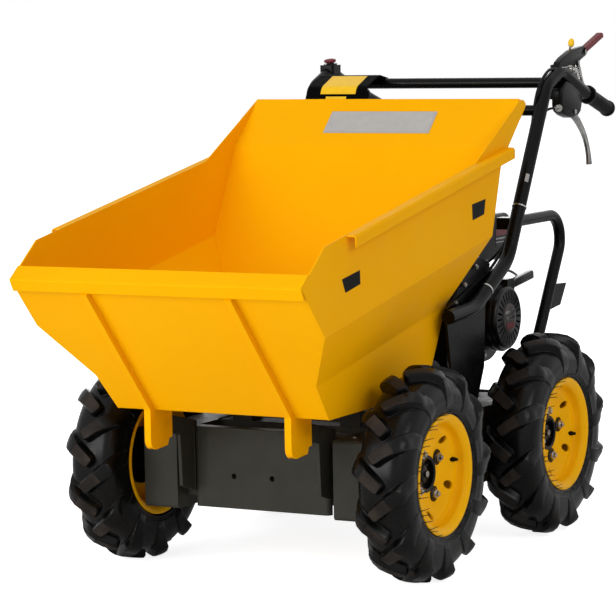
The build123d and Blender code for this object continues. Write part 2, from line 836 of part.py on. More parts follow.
with BuildPart() as air_filter:
    with BuildSketch(Plane.XY.offset(cleaner_bottom)):
        with Locations(((cleaner_left_x + cleaner_right_x) / 2, (cleaner_front_y + cleaner_rear_y) / 2)):
            RectangleRounded(
                cleaner_left_x - cleaner_right_x, cleaner_rear_y - cleaner_front_y, muffler_corner)
    extrude(amount=cleaner_top - cleaner_bottom)
    fillet(air_filter.faces().sort_by(Axis.Z)[-1].edges(), radius=muffler_corner / 2)
keep(air_filter.part, "air_filter")

with BuildPart() as muffler:
    with BuildSketch(Plane.XY.offset(cleaner_bottom)):
        with Locations(((muffler_left_x + muffler_right_x) / 2, (cleaner_front_y + cleaner_rear_y) / 2)):
            RectangleRounded(
                muffler_left_x - muffler_right_x, cleaner_rear_y - cleaner_front_y, muffler_corner)
    extrude(amount=muffler_top - cleaner_bottom)
    fillet(muffler.faces().sort_by(Axis.Z)[-1].edges(), radius=muffler_corner / 2)
keep(muffler.part, "muffler")

with BuildPart() as belt_guard:
    with BuildSketch(side_plane(belt_left_x)):
        with Locations((crank_y, crank_z)):
            Circle(belt_large_radius)
        with Locations((belt_small_y, belt_small_z)):
            Circle(belt_small_radius)
        make_hull()
    extrude(amount=-belt_wall)
    fillet(belt_guard.faces().sort_by(Axis.X)[0].edges(), radius=belt_wall / 6)
keep(belt_guard.part, "belt_guard")

# ======== handlebars ========
handle = tube(handle_x, handle_corners, handle_bends, handle_radius)
other_handle = mirror(handle, about=Plane.YZ)
keep_both(handle, "handle_tubes")
with BuildPart() as crossbars:
    with BuildSketch(side_plane(-handle_x)):
        with Locations(*crossbar_places):
            Circle(crossbar_radius)
    extrude(amount=2 * handle_x)
    add(handle, mode=Mode.SUBTRACT)
    add(other_handle, mode=Mode.SUBTRACT)
    Box(2 * handle_x - handle_radius, skip_reach * 2, skip_reach * 3, mode=Mode.INTERSECT)
keep(crossbars.part, "crossbars")

grip_run = Vector(0, grip_end[0] - grip_start[0], grip_end[1] - grip_start[1])
with BuildPart() as grip:
    with BuildSketch(Plane(origin=(handle_x, grip_start[0], grip_start[1]), z_dir=grip_run)):
        Circle(grip_radius)
    extrude(amount=grip_run.length)
    with BuildSketch(Plane(origin=(handle_x, grip_start[0], grip_start[1]), z_dir=grip_run)):
        Circle(grip_collar_radius)
    extrude(amount=grip_collar)
    add(handle, mode=Mode.SUBTRACT)
keep_both(grip.part, "grips")

# The posts stand on the chain cases and carry the handle tubes on their outer faces.
post_face = handle_x - handle_radius
tube_start_z = handle_corners[0][1]
post_foot_front_y = post_front_y + post_lean
post_top_z = handle_corners[2][1] - post_lean
with BuildPart() as handle_post:
    with BuildSketch(side_plane(post_face - post_wall)):
        with BuildLine():
            Polyline((post_foot_front_y, case_top), (post_foot_y, case_top), post_waist,
                     (post_rear_y, tube_start_z), (post_rear_y + 2 * post_lean, post_top_z),
                     (post_rear_y + post_lean, post_top_z), (post_front_y, tube_start_z + handle_radius),
                     (post_front_y, tube_start_z - handle_radius), (post_foot_front_y, post_waist[1]),
                     close=True)
        make_face()
    extrude(amount=post_wall)
    with BuildSketch(Plane.XY.offset(case_top)):
        with Locations(((post_foot_x + post_face) / 2, (post_foot_front_y + post_foot_y) / 2)):
            Rectangle(post_face - post_foot_x, post_foot_y - post_foot_front_y)
    extrude(amount=post_wall)
keep_both(handle_post.part, "handle_posts")

guard_corners = [(guard_start_y, guard_top_z), (guard_rear_y, guard_top_z),
                 (guard_foot_y, guard_foot_bend_z), (guard_foot_y, case_top)]
guard = tube(guard_x, guard_corners, guard_bends, guard_radius)
with BuildPart() as rear_guard:
    add(guard)
    with BuildSketch(side_plane(guard_x - guard_radius)):
        with Locations((guard_start_y - guard_tab / 2, guard_top_z)):
            Rectangle(guard_tab, 2 * guard_radius)
    extrude(amount=post_face - guard_x + guard_radius)
keep_both(rear_guard.part, "rear_guards")
with BuildPart() as guard_plate:
    add(plate(guard_x - guard_plate_wall / 2, guard_x + guard_plate_wall / 2, guard_plate_outline))
    add(guard, mode=Mode.SUBTRACT)
keep(Part(guard_plate.part.solids().sort_by(Axis.Y)[-1].wrapped), "guard_plate")

# ======== controls ========
with BuildPart() as console:
    with BuildSketch(side_plane(console_right_x)):
        with BuildLine():
            FilletPolyline(*console_line, radius=console_bend)
            offset(amount=console_wall, side=Side.RIGHT)
        make_face()
    extrude(amount=console_left_x - console_right_x)
    add(crossbars.part, mode=Mode.SUBTRACT)
keep(console.part, "console")

with BuildPart() as switch_housing:
    with BuildSketch(Plane.XY.offset(switch_bottom)):
        with Locations((-handle_x, switch_y)):
            RectangleRounded(switch_width, switch_length, switch_corner)
    extrude(amount=switch_height)
    add(other_handle, mode=Mode.SUBTRACT)
keep(Part(switch_housing.part.solids().sort_by(Axis.Z)[-1].wrapped), "switch_housing")

# The lever's perch hangs below the left tube; a web beside the tube joins it to the bracket above.
with BuildPart() as control_housing:
    add(plate(holder_inner_x, perch_outer_x, perch_outline))
    add(plate(holder_inner_x, bracket_outer_x, bracket_outline))
    fillet(control_housing.edges().filter_by(Axis.X), radius=holder_corner)
    add(plate(holder_inner_x, holder_inner_x + holder_web, web_outline))
    add(handle, mode=Mode.SUBTRACT)
keep(control_housing.part, "control_housing")

with BuildPart() as hand_lever:
    with BuildSketch(side_plane(handle_x - lever_width / 2)):
        with BuildLine():
            FilletPolyline(*lever_line, radius=lever_bend)
            offset(amount=lever_wall, side=Side.LEFT)
        make_face()
    extrude(amount=lever_width)
    add(control_housing.part, mode=Mode.SUBTRACT)
keep(Part(hand_lever.part.solids().sort_by(Axis.Z)[0].wrapped), "hand_lever")

with BuildPart() as tip_grip:
    with BuildSketch(Plane(origin=(handle_x, tip_grip_start[0], tip_grip_start[1]), x_dir=(1, 0, 0),
                           z_dir=(0, tip_grip_run[0], tip_grip_run[1]))):
        RectangleRounded(tip_grip_width, tip_grip_height, tip_grip_height / 3)
    extrude(amount=hypot(*tip_grip_run))
keep(tip_grip.part, "tip_lever_grip")
with BuildPart() as tip_lever:
    with BuildSketch(side_plane(handle_x - tip_lever_width / 2)):
        with BuildLine():
            Polyline(*tip_lever_line)
            offset(amount=tip_lever_wall, side=Side.LEFT)
        make_face()
    extrude(amount=tip_lever_width)
    add(tip_grip.part, mode=Mode.SUBTRACT)
    add(control_housing.part, mode=Mode.SUBTRACT)
keep(Part(tip_lever.part.solids().sort_by(SortBy.VOLUME)[-1].wrapped), "tip_lever")
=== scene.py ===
from math import cos, hypot, pi, radians, sin

import bmesh
import bpy
from mathutils import Matrix, Vector


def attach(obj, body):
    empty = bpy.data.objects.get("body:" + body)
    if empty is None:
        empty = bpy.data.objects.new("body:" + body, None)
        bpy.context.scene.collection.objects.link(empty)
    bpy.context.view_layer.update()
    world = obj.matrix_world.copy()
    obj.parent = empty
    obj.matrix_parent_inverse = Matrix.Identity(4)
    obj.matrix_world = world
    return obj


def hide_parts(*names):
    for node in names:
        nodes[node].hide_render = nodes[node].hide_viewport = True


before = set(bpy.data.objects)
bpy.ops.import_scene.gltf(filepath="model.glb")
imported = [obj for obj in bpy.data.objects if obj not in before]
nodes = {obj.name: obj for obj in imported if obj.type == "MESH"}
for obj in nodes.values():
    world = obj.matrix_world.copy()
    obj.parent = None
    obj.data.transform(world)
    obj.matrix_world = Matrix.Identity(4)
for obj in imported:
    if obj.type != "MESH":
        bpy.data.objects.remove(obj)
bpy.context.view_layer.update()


# ---- camera ----
def camera():
    """A long lens in front of the left side, turned level with the machine's own slight tilt."""
    azimuth, elevation, roll = radians(28.87), radians(5.98), radians(-1.10)
    place = Vector((2.6634, -4.9844, 1.0722))
    back = Vector((sin(azimuth) * cos(elevation), -cos(azimuth) * cos(elevation), sin(elevation)))
    right = Vector((cos(azimuth), sin(azimuth), 0))
    up = back.cross(right)
    right, up = cos(roll) * right + sin(roll) * up, cos(roll) * up - sin(roll) * right
    data = bpy.data.cameras.new("camera")
    data.sensor_width = 36
    data.lens = 165.23
    data.clip_end = 100
    view = bpy.data.objects.new("camera", data)
    view.matrix_world = Matrix((
        (right.x, up.x, back.x, place.x), (right.y, up.y, back.y, place.y),
        (right.z, up.z, back.z, place.z), (0, 0, 0, 1)))
    bpy.context.scene.collection.objects.link(view)
    bpy.context.scene.camera = view


# ---- light ----
machine_middle = (0, 0, 0.45)


def lamp(name, place, size, power):
    """A rectangular area lamp, in metres and watts, aimed at the middle of the machine."""
    data = bpy.data.lights.new(name, "AREA")
    data.shape = "RECTANGLE"
    data.size, data.size_y = size
    data.energy = power
    light = bpy.data.objects.new(name, data)
    towards = Vector(machine_middle) - Vector(place)
    light.location = place
    light.rotation_euler = towards.to_track_quat("-Z", "Y").to_euler()
    bpy.context.scene.collection.objects.link(light)


def studio_world():
    """Soft grey light from all round, seen as white by the camera and in reflections."""
    world = bpy.data.worlds.new("studio")
    bpy.context.scene.world = world
    world.use_nodes = True
    tree = world.node_tree
    tree.nodes.clear()
    path = tree.nodes.new("ShaderNodeLightPath")
    seen = tree.nodes.new("ShaderNodeMath")
    seen.operation = "MAXIMUM"
    mirrored = tree.nodes.new("ShaderNodeMath")
    mirrored.operation = "MAXIMUM"
    soft = tree.nodes.new("ShaderNodeBackground")
    soft.inputs["Color"].default_value = (0.95, 0.97, 1, 1)
    soft.inputs["Strength"].default_value = 0.42
    white = tree.nodes.new("ShaderNodeBackground")
    white.inputs["Color"].default_value = (1, 1, 1, 1)
    white.inputs["Strength"].default_value = 1
    mix = tree.nodes.new("ShaderNodeMixShader")
    out = tree.nodes.new("ShaderNodeOutputWorld")
    link = tree.links.new
    link(path.outputs["Is Glossy Ray"], mirrored.inputs[0])
    link(path.outputs["Is Transmission Ray"], mirrored.inputs[1])
    link(path.outputs["Is Camera Ray"], seen.inputs[0])
    link(mirrored.outputs[0], seen.inputs[1])
    link(seen.outputs[0], mix.inputs[0])
    link(soft.outputs[0], mix.inputs[1])
    link(white.outputs[0], mix.inputs[2])
    link(mix.outputs[0], out.inputs["Surface"])


# ---- finishes ----
class Finish:
    """One procedural material: colour drift, roughness drift and a fine bump, all on object coordinates."""

    def __init__(self, name, roughness, metallic=0.0):
        self.material = bpy.data.materials.new(name)
        self.material.use_nodes = True
        self.tree = self.material.node_tree
        self.shader = self.tree.nodes["Principled BSDF"]
        self.shader.inputs["Metallic"].default_value = metallic
        self.shader.inputs["Roughness"].default_value = roughness
        self.coords = self.tree.nodes.new("ShaderNodeTexCoord").outputs["Object"]

    def node(self, kind, **values):
        made = self.tree.nodes.new("ShaderNode" + kind)
        for key, value in values.items():
            setattr(made, key, value)
        return made

    def noise(self, scale, detail=4.0, stretch=None):
        source = self.coords
        if stretch:
            mapping = self.node("Mapping")
            mapping.inputs["Scale"].default_value = stretch
            self.tree.links.new(self.coords, mapping.inputs["Vector"])
            source = mapping.outputs[0]
        texture = self.node("TexNoise")
        texture.inputs["Scale"].default_value = scale
        texture.inputs["Detail"].default_value = detail
        self.tree.links.new(source, texture.inputs["Vector"])
        return texture.outputs["Fac"]

    def spread(self, source, low, high, start=0.3, end=0.7):
        """The source mapped onto the range low to high."""
        ranged = self.node("MapRange")
        for key, value in zip(("From Min", "From Max", "To Min", "To Max"), (start, end, low, high)):
            ranged.inputs[key].default_value = value
        self.tree.links.new(source, ranged.inputs["Value"])
        return ranged.outputs["Result"]

    def blend(self, factor, first, second):
        """Two colours mixed by a factor; each is a colour or a socket."""
        mix = self.node("Mix", data_type="RGBA")
        self.tree.links.new(factor, mix.inputs["Factor"])
        for key, value in (("A", first), ("B", second)):
            socket = [item for item in mix.inputs if item.name == key and item.type == "RGBA"][0]
            if isinstance(value, tuple):
                socket.default_value = (*value, 1)
            else:
                self.tree.links.new(value, socket)
        return [item for item in mix.outputs if item.type == "RGBA"][0]

    def colour(self, source):
        self.tree.links.new(source, self.shader.inputs["Base Color"])

    def rough(self, source):
        self.tree.links.new(source, self.shader.inputs["Roughness"])

    def bump(self, source, distance, round_edges):
        """A bump from the source, over edges rounded by a small radius."""
        bump = self.node("Bump")
        bump.inputs["Distance"].default_value = distance
        bump.inputs["Strength"].default_value = 1
        self.tree.links.new(source, bump.inputs["Height"])
        edge = self.node("Bevel", samples=4)
        edge.inputs["Radius"].default_value = round_edges
        self.tree.links.new(edge.outputs[0], bump.inputs["Normal"])
        self.tree.links.new(bump.outputs[0], self.shader.inputs["Normal"])


def linear(red, green, blue):
    """A screen colour given as 0 to 255, as the linear values that the shader wants."""
    parts = [value / 255 for value in (red, green, blue)]
    return tuple(part / 12.92 if part <= 0.04045 else ((part + 0.055) / 1.055) ** 2.4 for part in parts)


def coat(name, base, shade, roughness, scale=6.0, grain=0.00005, metallic=0.0, specular=0.3):
    """Paint, plastic or metal with a drift between two shades and an even fine grain."""
    made = Finish(name, roughness, metallic)
    made.shader.inputs["Specular IOR Level"].default_value = specular
    made.colour(made.blend(made.spread(made.noise(scale), 0, 1), linear(*base), linear(*shade)))
    made.rough(made.spread(made.noise(scale * 5, 6), roughness * 0.85, roughness * 1.2))
    made.bump(made.noise(350, 3), grain, 0.0012)
    return made.material


def worn_rubber(name, base, dust, cover, roughness, specular):
    """Black rubber with dust in soft patches and a pebbled skin."""
    made = Finish(name, roughness)
    made.shader.inputs["Specular IOR Level"].default_value = specular
    patches = made.spread(made.noise(26, 6), 0, cover, 0.42, 0.72)
    made.colour(made.blend(patches, linear(*base), linear(*dust)))
    made.rough(made.spread(made.noise(40, 5), roughness * 0.8, roughness * 1.25))
    made.bump(made.noise(420, 4), 0.0001, 0.0016)
    return made.material


def brushed_metal(name, base, shade, roughness):
    """Bright metal with fine drawn lines, and darker patches that are painted reflection: the dark parts that
    polished metal mirrors.
    """
    made = Finish(name, roughness, 1.0)
    drawn = (1, 12, 12)
    # the darker second colour is painted reflection of polished metal
    made.colour(made.blend(made.spread(made.noise(30, 5), 0, 1), linear(*base), linear(*shade)))
    made.rough(made.spread(made.noise(90, 4, drawn), roughness * 0.75, roughness * 1.3))
    made.bump(made.noise(240, 3, drawn), 0.00004, 0.0006)
    return made.material


# each with its colour, its second shade or its dust, then how rough it is and what else differs
finishes = {
    "skip_yellow": coat("skip_yellow", (252, 179, 0), (248, 174, 0), 0.46, specular=0.03, grain=0.00003, scale=4),
    "rim_yellow": coat("rim_yellow", (255, 188, 0), (248, 180, 0), 0.36, specular=0.08, grain=0.00003, scale=14),
    "frame_grey": coat("frame_grey", (53, 53, 47), (46, 46, 41), 0.5, specular=0.14, scale=9),
    "tube_black": coat("tube_black", (9, 9, 9), (6, 6, 6), 0.26, specular=0.1),
    "tyre_black": worn_rubber("tyre_black", (8, 8, 8), (22, 21, 20), 0.3, 0.25, 0.14),
    "lug_brown": worn_rubber("lug_brown", (30, 27, 25), (60, 52, 46), 0.75, 0.6, 0.1),
    "hub_black": coat("hub_black", (8, 8, 9), (14, 14, 14), 0.22, scale=20, specular=0.14),
    "pad_rubber": coat("pad_rubber", (28, 28, 28), (36, 35, 34), 0.7, scale=30),
    "pin_paint": coat("pin_paint", (250, 177, 0), (244, 171, 0), 0.46, specular=0.03, scale=20),
    "bolt_zinc": brushed_metal("bolt_zinc", (150, 148, 142), (96, 94, 90), 0.32),
    "gear_alloy": coat("gear_alloy", (110, 110, 108), (88, 88, 87), 0.45, metallic=0.5, scale=20),
    "engine_black": coat("engine_black", (10, 10, 10), (7, 7, 7), 0.34, specular=0.14, scale=20),
    "engine_plastic": coat("engine_plastic", (16, 15, 14), (11, 10, 10), 0.28, specular=0.22, scale=16),
    "tank_grey": coat("tank_grey", (24, 24, 23), (18, 18, 17), 0.3, scale=12, specular=0.14),
    "silencer_steel": coat("silencer_steel", (120, 118, 116), (90, 88, 86), 0.4, metallic=0.8, scale=20),
    "grip_rubber": coat("grip_rubber", (7, 7, 8), (11, 11, 11), 0.45, scale=40, specular=0.08),
    "console_black": coat("console_black", (4, 4, 4), (3, 3, 3), 0.5, scale=12, specular=0.02),
    "control_black": coat("control_black", (8, 7, 7), (16, 14, 13), 0.28, scale=30, specular=0.1),
    # the lever's darker second colour is painted reflection
    "lever_silver": brushed_metal("lever_silver", (190, 188, 184), (96, 94, 91), 0.2),
    "grip_red": coat("grip_red", (112, 24, 32), (92, 18, 26), 0.45, scale=40, specular=0.25),
    "label_yellow": coat("label_yellow", (250, 200, 10), (244, 190, 8), 0.35, scale=60, grain=0.00002),
    "label_pale": coat("label_pale", (176, 174, 170), (169, 167, 163), 0.35, scale=60, grain=0.00002),
    "label_dark": coat("label_dark", (66, 54, 52), (50, 42, 42), 0.35, scale=60, grain=0.00002),
    "label_red": coat("label_red", (120, 40, 42), (100, 34, 36), 0.35, scale=60, grain=0.00002),
    "stripe_black": coat("stripe_black", (12, 12, 12), (9, 9, 9), 0.42, specular=0.05, grain=0.00002),
}
node_finishes = [
    # start of the node's name, finish
    ("tyre_", "tyre_black"), ("rim_", "rim_yellow"), ("hub_", "hub_black"), ("skip_", "skip_yellow"),
    ("chain_cases", "frame_grey"), ("front_plate", "frame_grey"), ("cross_members", "frame_grey"),
    ("rear_plate", "frame_grey"), ("pivot_ears", "frame_grey"), ("engine_bed", "frame_grey"),
    ("belt_guard", "frame_grey"), ("handle_posts", "tube_black"), ("rest_pads", "pad_rubber"),
    ("pivot_pins", "pin_paint"), ("gearbox", "gear_alloy"), ("engine_block", "engine_black"),
    ("recoil_shroud", "engine_plastic"), ("air_filter", "engine_plastic"), ("starter_grip", "engine_plastic"),
    ("fuel_tank", "tank_grey"), ("muffler", "silencer_steel"), ("handle_tubes", "tube_black"),
    ("crossbars", "tube_black"), ("rear_guards", "tube_black"), ("guard_plate", "tube_black"),
    ("grips", "grip_rubber"), ("console", "console_black"), ("switch_housing", "control_black"),
    ("control_housing", "control_black"), ("hand_lever", "lever_silver"), ("tip_lever_grip", "grip_red"),
    ("tip_lever", "control_black")]


def dress_nodes():
    for name, piece in nodes.items():
        finish = next(finish for start, finish in node_finishes if name.startswith(start))
        for slot in piece.material_slots:
            slot.material = finishes[finish]


def studio_floor():
    """A plain white floor that keeps the shadow under the machine, and fades into the white backdrop far away."""
    mesh = bmesh.new()
    bmesh.ops.create_grid(mesh, x_segments=1, y_segments=1, size=20)
    data = bpy.data.meshes.new("floor")
    mesh.to_mesh(data)
    mesh.free()
    floor = bpy.data.objects.new("floor", data)
    bpy.context.scene.collection.objects.link(floor)
    made = Finish("floor_white", 0.9)
    tree = made.tree
    made.shader.inputs["Base Color"].default_value = (0.8, 0.8, 0.8, 1)
    made.shader.inputs["Specular IOR Level"].default_value = 0
    # The camera sees a glow that grows with distance; other rays get a faint even light from the floor.
    reach = made.node("VectorMath", operation="LENGTH")
    tree.links.new(made.coords, reach.inputs[0])
    glow = made.node("Emission")
    tree.links.new(made.spread(reach.outputs["Value"], 0.84, 1.0, 0.8, 2.0), glow.inputs["Strength"])
    faint = made.node("Emission")
    faint.inputs["Strength"].default_value = 0.1
    path = made.node("LightPath")
    mix = made.node("MixShader")
    tree.links.new(path.outputs["Is Camera Ray"], mix.inputs[0])
    for number, light in ((1, faint), (2, glow)):
        total = made.node("AddShader")
        tree.links.new(made.shader.outputs[0], total.inputs[0])
        tree.links.new(light.outputs[0], total.inputs[1])
        tree.links.new(total.outputs[0], mix.inputs[number])
    tree.links.new(mix.outputs[0], tree.nodes["Material Output"].inputs["Surface"])
    data.materials.append(made.material)


# ---- making pieces; all sizes below are in millimetres ----
MM = 0.001


def spun(profile, steps, closed=False):
    """A profile of (distance along X, radius) points spun round the X axis."""
    mesh = bmesh.new()
    ring = [mesh.verts.new((across, 0, radius)) for across, radius in profile]
    edges = [mesh.edges.new(pair) for pair in zip(ring, ring[1:])]
    if closed:
        edges.append(mesh.edges.new((ring[-1], ring[0])))
    bmesh.ops.spin(mesh, geom=ring + edges, cent=(0, 0, 0), axis=(1, 0, 0), dvec=(0, 0, 0),
                   angle=2 * pi, steps=steps, use_merge=True)
    bmesh.ops.remove_doubles(mesh, verts=mesh.verts[:], dist=0.001)
    return mesh


def turned_to(mesh, place, direction):
    """Turn a mesh made along +X to a direction, and put its origin at a place."""
    turn = Vector(direction).to_track_quat("X", "Z").to_matrix().to_4x4()
    bmesh.ops.transform(mesh, matrix=Matrix.Translation(place) @ turn, verts=mesh.verts[:])
    return mesh


def stud(mesh, place, direction, radius, length, sides=20, tip=None):
    """A round or many-sided stud standing on a place; tip is its radius at the far end."""
    along = Vector(direction).normalized()
    turn = along.to_track_quat("Z", "Y").to_matrix().to_4x4()
    middle = Vector(place) + along * (length / 2)
    bmesh.ops.create_cone(mesh, cap_ends=True, segments=sides, radius1=radius,
                          radius2=radius if tip is None else tip, depth=length,
                          matrix=Matrix.Translation(middle) @ turn)


def block(mesh, low, high):
    """A block between two corners."""
    size = [b - a for a, b in zip(low, high)]
    middle = [(a + b) / 2 for a, b in zip(low, high)]
    bmesh.ops.create_cube(mesh, size=1, matrix=Matrix.Translation(middle) @ Matrix.Diagonal((*size, 1)))


def soften(mesh, width, segments=2, sharp=30):
    """Bevel the mesh's sharp edges."""
    edges = [edge for edge in mesh.edges if len(edge.link_faces) == 2
             and edge.calc_face_angle() > radians(sharp)]
    bmesh.ops.bevel(mesh, geom=edges, offset=width, offset_type="OFFSET", segments=segments,
                    profile=0.5, affect="EDGES", material=-1, clamp_overlap=True)


def patch(mesh, corners, thickness):
    """A thin flat piece on the given corners, thickened along its own normal."""
    face = mesh.faces.new([mesh.verts.new(corner) for corner in corners])
    face.normal_update()
    lift = face.normal * thickness
    grown = bmesh.ops.extrude_face_region(mesh, geom=[face])
    moved = [item for item in grown["geom"] if isinstance(item, bmesh.types.BMVert)]
    bmesh.ops.translate(mesh, verts=moved, vec=lift)


def join(mesh, part):
    """Add a part to a mesh, and free the part."""
    data = bpy.data.meshes.new("part")
    part.to_mesh(data)
    part.free()
    mesh.from_mesh(data)
    bpy.data.meshes.remove(data)


def finished(mesh, name, body, finish, replaces=(), smooth=38):
    """Write a mesh made in millimetres as one piece, riding on its body."""
    bmesh.ops.scale(mesh, vec=(MM, MM, MM), verts=mesh.verts[:])
    bmesh.ops.recalc_face_normals(mesh, faces=mesh.faces[:])
    data = bpy.data.meshes.new(name)
    mesh.to_mesh(data)
    mesh.free()
    data.polygons.foreach_set("use_smooth", [True] * len(data.polygons))
    data.set_sharp_from_angle(angle=radians(smooth))
    for one in (finish if isinstance(finish, tuple) else (finish,)):
        data.materials.append(finishes[one])
    piece = bpy.data.objects.new(name, data)
    bpy.context.scene.collection.objects.link(piece)
    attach(piece, body)
    if replaces:
        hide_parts(*replaces)
    return piece


def rod(name, points, radius, finish, body="chassis", sizes=None):
    """A cable or a bent round bar through given points."""
    line = bpy.data.curves.new(name, "CURVE")
    line.dimensions = "3D"
    line.bevel_depth = radius * MM
    line.bevel_resolution = 3
    line.resolution_u = 8
    line.use_fill_caps = True
    spline = line.splines.new("NURBS")
    spline.points.add(len(points) - 1)
    for index, (point, place) in enumerate(zip(spline.points, points)):
        point.co = (*[value * MM for value in place], 1)
        if sizes:
            point.radius = sizes[index]
    spline.use_endpoint_u = True
    spline.order_u = 3
    line.materials.append(finishes[finish])
    piece = bpy.data.objects.new(name, line)
    bpy.context.scene.collection.objects.link(piece)
    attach(piece, body)
    return piece


def weld_drop(mesh, place, radius):
    bmesh.ops.create_icosphere(mesh, subdivisions=1, radius=radius, matrix=Matrix.Translation(place))


def weld_bead(mesh, start, end, radius):
    """A row of small overlapping drops of weld."""
    start, end = Vector(start), Vector(end)
    count = max(2, round((end - start).length / (radius * 1.5)))
    for number in range(count + 1):
        weld_drop(mesh, start.lerp(end, number / count), radius)


def mirrored(mesh):
    """Turn a piece for the left side into one for the right side."""
    bmesh.ops.scale(mesh, vec=(-1, 1, 1), verts=mesh.verts[:])
    bmesh.ops.reverse_faces(mesh, faces=mesh.faces[:])
    return mesh


# ---- wheels ----
axle_height = 205
front_axle_y, rear_axle_y = -286, 274
wheel_x = 313
bars_a_side = 12
bar_height = 16
# how far a bar's foot reaches under the carcass
bar_root = -2.0
# rows and columns of a bar's grid whose faces are its brown, worn nose
worn_rows = range(2, 6)
worn_columns = range(3, 7)
# a bar stays within this half width and radius
tyre_half_width = 54.9
tyre_reach = 204.9
hand_holes = 5
hand_hole_circle = 78
hand_hole_radius = 8
first_hand_hole = 49
disc_face = 8
nut_circle = 49
valve_circle = 84
valve_turn = -21
hair_count = 44
hair_root = 119
wheels = [
    # name, side, y of the axle, turn of the tread, turn of the rim, turn of the nuts
    ("front_left", 1, front_axle_y, 6.4, 0, 32.6), ("front_right", -1, front_axle_y, 3, 20, 50),
    ("rear_left", 1, rear_axle_y, 14, 8, 12.7), ("rear_right", -1, rear_axle_y, 20, 30, 70)]
# (distance across, radius) from the crown down to the bead
tyre_half = [
    (0, 189), (14, 189), (27, 187.2), (37, 183), (45, 175.5), (50, 165), (52.5, 152), (53.2, 140),
    (51.5, 130), (49, 121)]
bead_half = [(51.8, 129), (50.2, 127.5), (50.6, 124.5), (48.8, 123), (48.6, 119.8), (47.2, 118.4), (45.5, 113.5),
             (44, 108), (42, 101.8), (36, 101.2)]
# across, round, half width, height of each section of a tread bar from its nose to its foot
bar_sections = [
    (-12, -30, 3, -3), (-11.5, -29.6, 6.5, 11), (-9, -27.6, 9.6, 15.4), (-4, -24, 11.6, 16), (10, -13, 12, 16),
    (24, -2.5, 12.4, 16.2), (34, 5.4, 12.8, 15.6), (41, 10.8, 13.4, 14.4), (46, 14.7, 14, 12),
    (50.5, 18.2, 14.8, 8.6), (56, 22.5, 15.6, 5.4), (64, 26.5, 16.6, 3.4), (75, 30, 17.4, 2.3),
    (90, 33.5, 17.4, 1.5), (96, 35, 16.6, 0.4), (98, 35.5, 15.6, -2.5)]
# share of the half width, share of the height and extra foot across a tread bar
bar_profile = [(1, 0, 4.6), (1, 0.55, 0.9), (0.97, 0.86, 0), (0.84, 1, 0), (0.3, 1.02, 0),
               (-0.3, 1.02, 0), (-0.84, 1, 0), (-0.97, 0.86, 0), (-1, 0.55, -0.9), (-1, 0, -4.6)]


def carcass_normals():
    """The outward direction at each point of the tyre's half section."""
    sides = [(start[1] - end[1], end[0] - start[0]) for start, end in zip(tyre_half, tyre_half[1:])]
    sides = [Vector(side).normalized() for side in sides]
    return [sides[0]] + [(a + b).normalized() for a, b in zip(sides, sides[1:])] + [sides[-1]]


half_normals = carcass_normals()


def on_carcass(across):
    """The point and the outward direction at a distance over the carcass from the crown."""
    side = 1 if across >= 0 else -1
    left = abs(across)
    for index, (start, end) in enumerate(zip(tyre_half, tyre_half[1:])):
        length = hypot(end[0] - start[0], end[1] - start[1])
        if left <= length or index == len(tyre_half) - 2:
            break
        left -= length
    share = min(left / length, 1.0)
    point = Vector(start).lerp(Vector(end), share)
    normal = half_normals[index].lerp(half_normals[index + 1], share).normalized()
    return Vector((side * point.x, point.y)), Vector((side * normal.x, normal.y))


def tread_bar(mesh, side, turn):
    """One tread bar, mapped from a grid onto the carcass and closed underneath."""
    rows, columns = len(bar_sections), len(bar_profile)
    made = bmesh.ops.create_grid(mesh, x_segments=rows - 1, y_segments=columns - 1, size=1)
    worn = set()
    for vertex in made["verts"]:
        row = round((vertex.co.x + 1) / 2 * (rows - 1))
        column = round((vertex.co.y + 1) / 2 * (columns - 1))
        if row in worn_rows and column in worn_columns:
            worn.add(vertex)
        across, about, half, height = bar_sections[row]
        before, after = bar_sections[max(row - 1, 0)], bar_sections[min(row + 1, rows - 1)]
        along = Vector((after[0] - before[0], after[1] - before[1])).normalized()
        share, rise, foot = bar_profile[column]
        reach = share * half + foot * max(height, 0) / bar_height
        spot = Vector((across, about)) + Vector((-along.y, along.x)) * reach
        point, normal = on_carcass(spot.x)
        lift = rise * height if rise else min(bar_root, height)
        point += normal * lift
        point.x = max(-tyre_half_width, min(tyre_half_width, point.x))
        point.y = min(tyre_reach, point.y)
        angle = spot.y / tyre_half[0][1] + turn
        vertex.co = (side * point.x, point.y * sin(angle), point.y * cos(angle))
    faces = {face for vertex in made["verts"] for face in vertex.link_faces}
    for face in faces:
        face.material_index = 1 if worn.issuperset(face.verts) else 0
    border = [edge for face in faces for edge in face.edges if edge.is_boundary]
    bmesh.ops.holes_fill(mesh, edges=list(set(border)), sides=0)


def tyre_mesh():
    """The whole tyre round the X axis: a turned carcass with tread bars on both sides."""
    half = tyre_half[:-1] + bead_half
    profile = [(-across, radius) for across, radius in reversed(half)] + half[1:]
    mesh = spun(profile, 96, closed=True)
    for number in range(bars_a_side):
        tread_bar(mesh, 1, 2 * pi * number / bars_a_side)
        tread_bar(mesh, -1, 2 * pi * (number + 0.5) / bars_a_side)
    return mesh


# (distance outwards, radius) round the whole section of the rim
rim_section = [
    (8, 35.3), (8, 64), (9.2, 68), (17, 78), (20, 81.5), (22, 85), (22, 90), (23, 94), (27, 97), (36, 97),
    (39.5, 98), (43, 101), (46.5, 105.5), (48, 109.5), (48.2, 113), (47.6, 114.7), (46.2, 115), (44.6, 115),
    (44.2, 113), (44.1, 105), (42.5, 102), (41, 101), (-41, 101), (-42.5, 102), (-44.1, 105), (-44.2, 113),
    (-44.6, 115), (-46.2, 115), (-47.6, 114.7), (-48.2, 113), (-48, 109.5), (-46.5, 105.5), (-43, 101),
    (-39.5, 98), (-36, 97), (13, 97), (17, 94), (18, 90), (18, 85), (16, 81.5), (13, 78), (5.2, 68), (4, 64),
    (4, 35.3)]


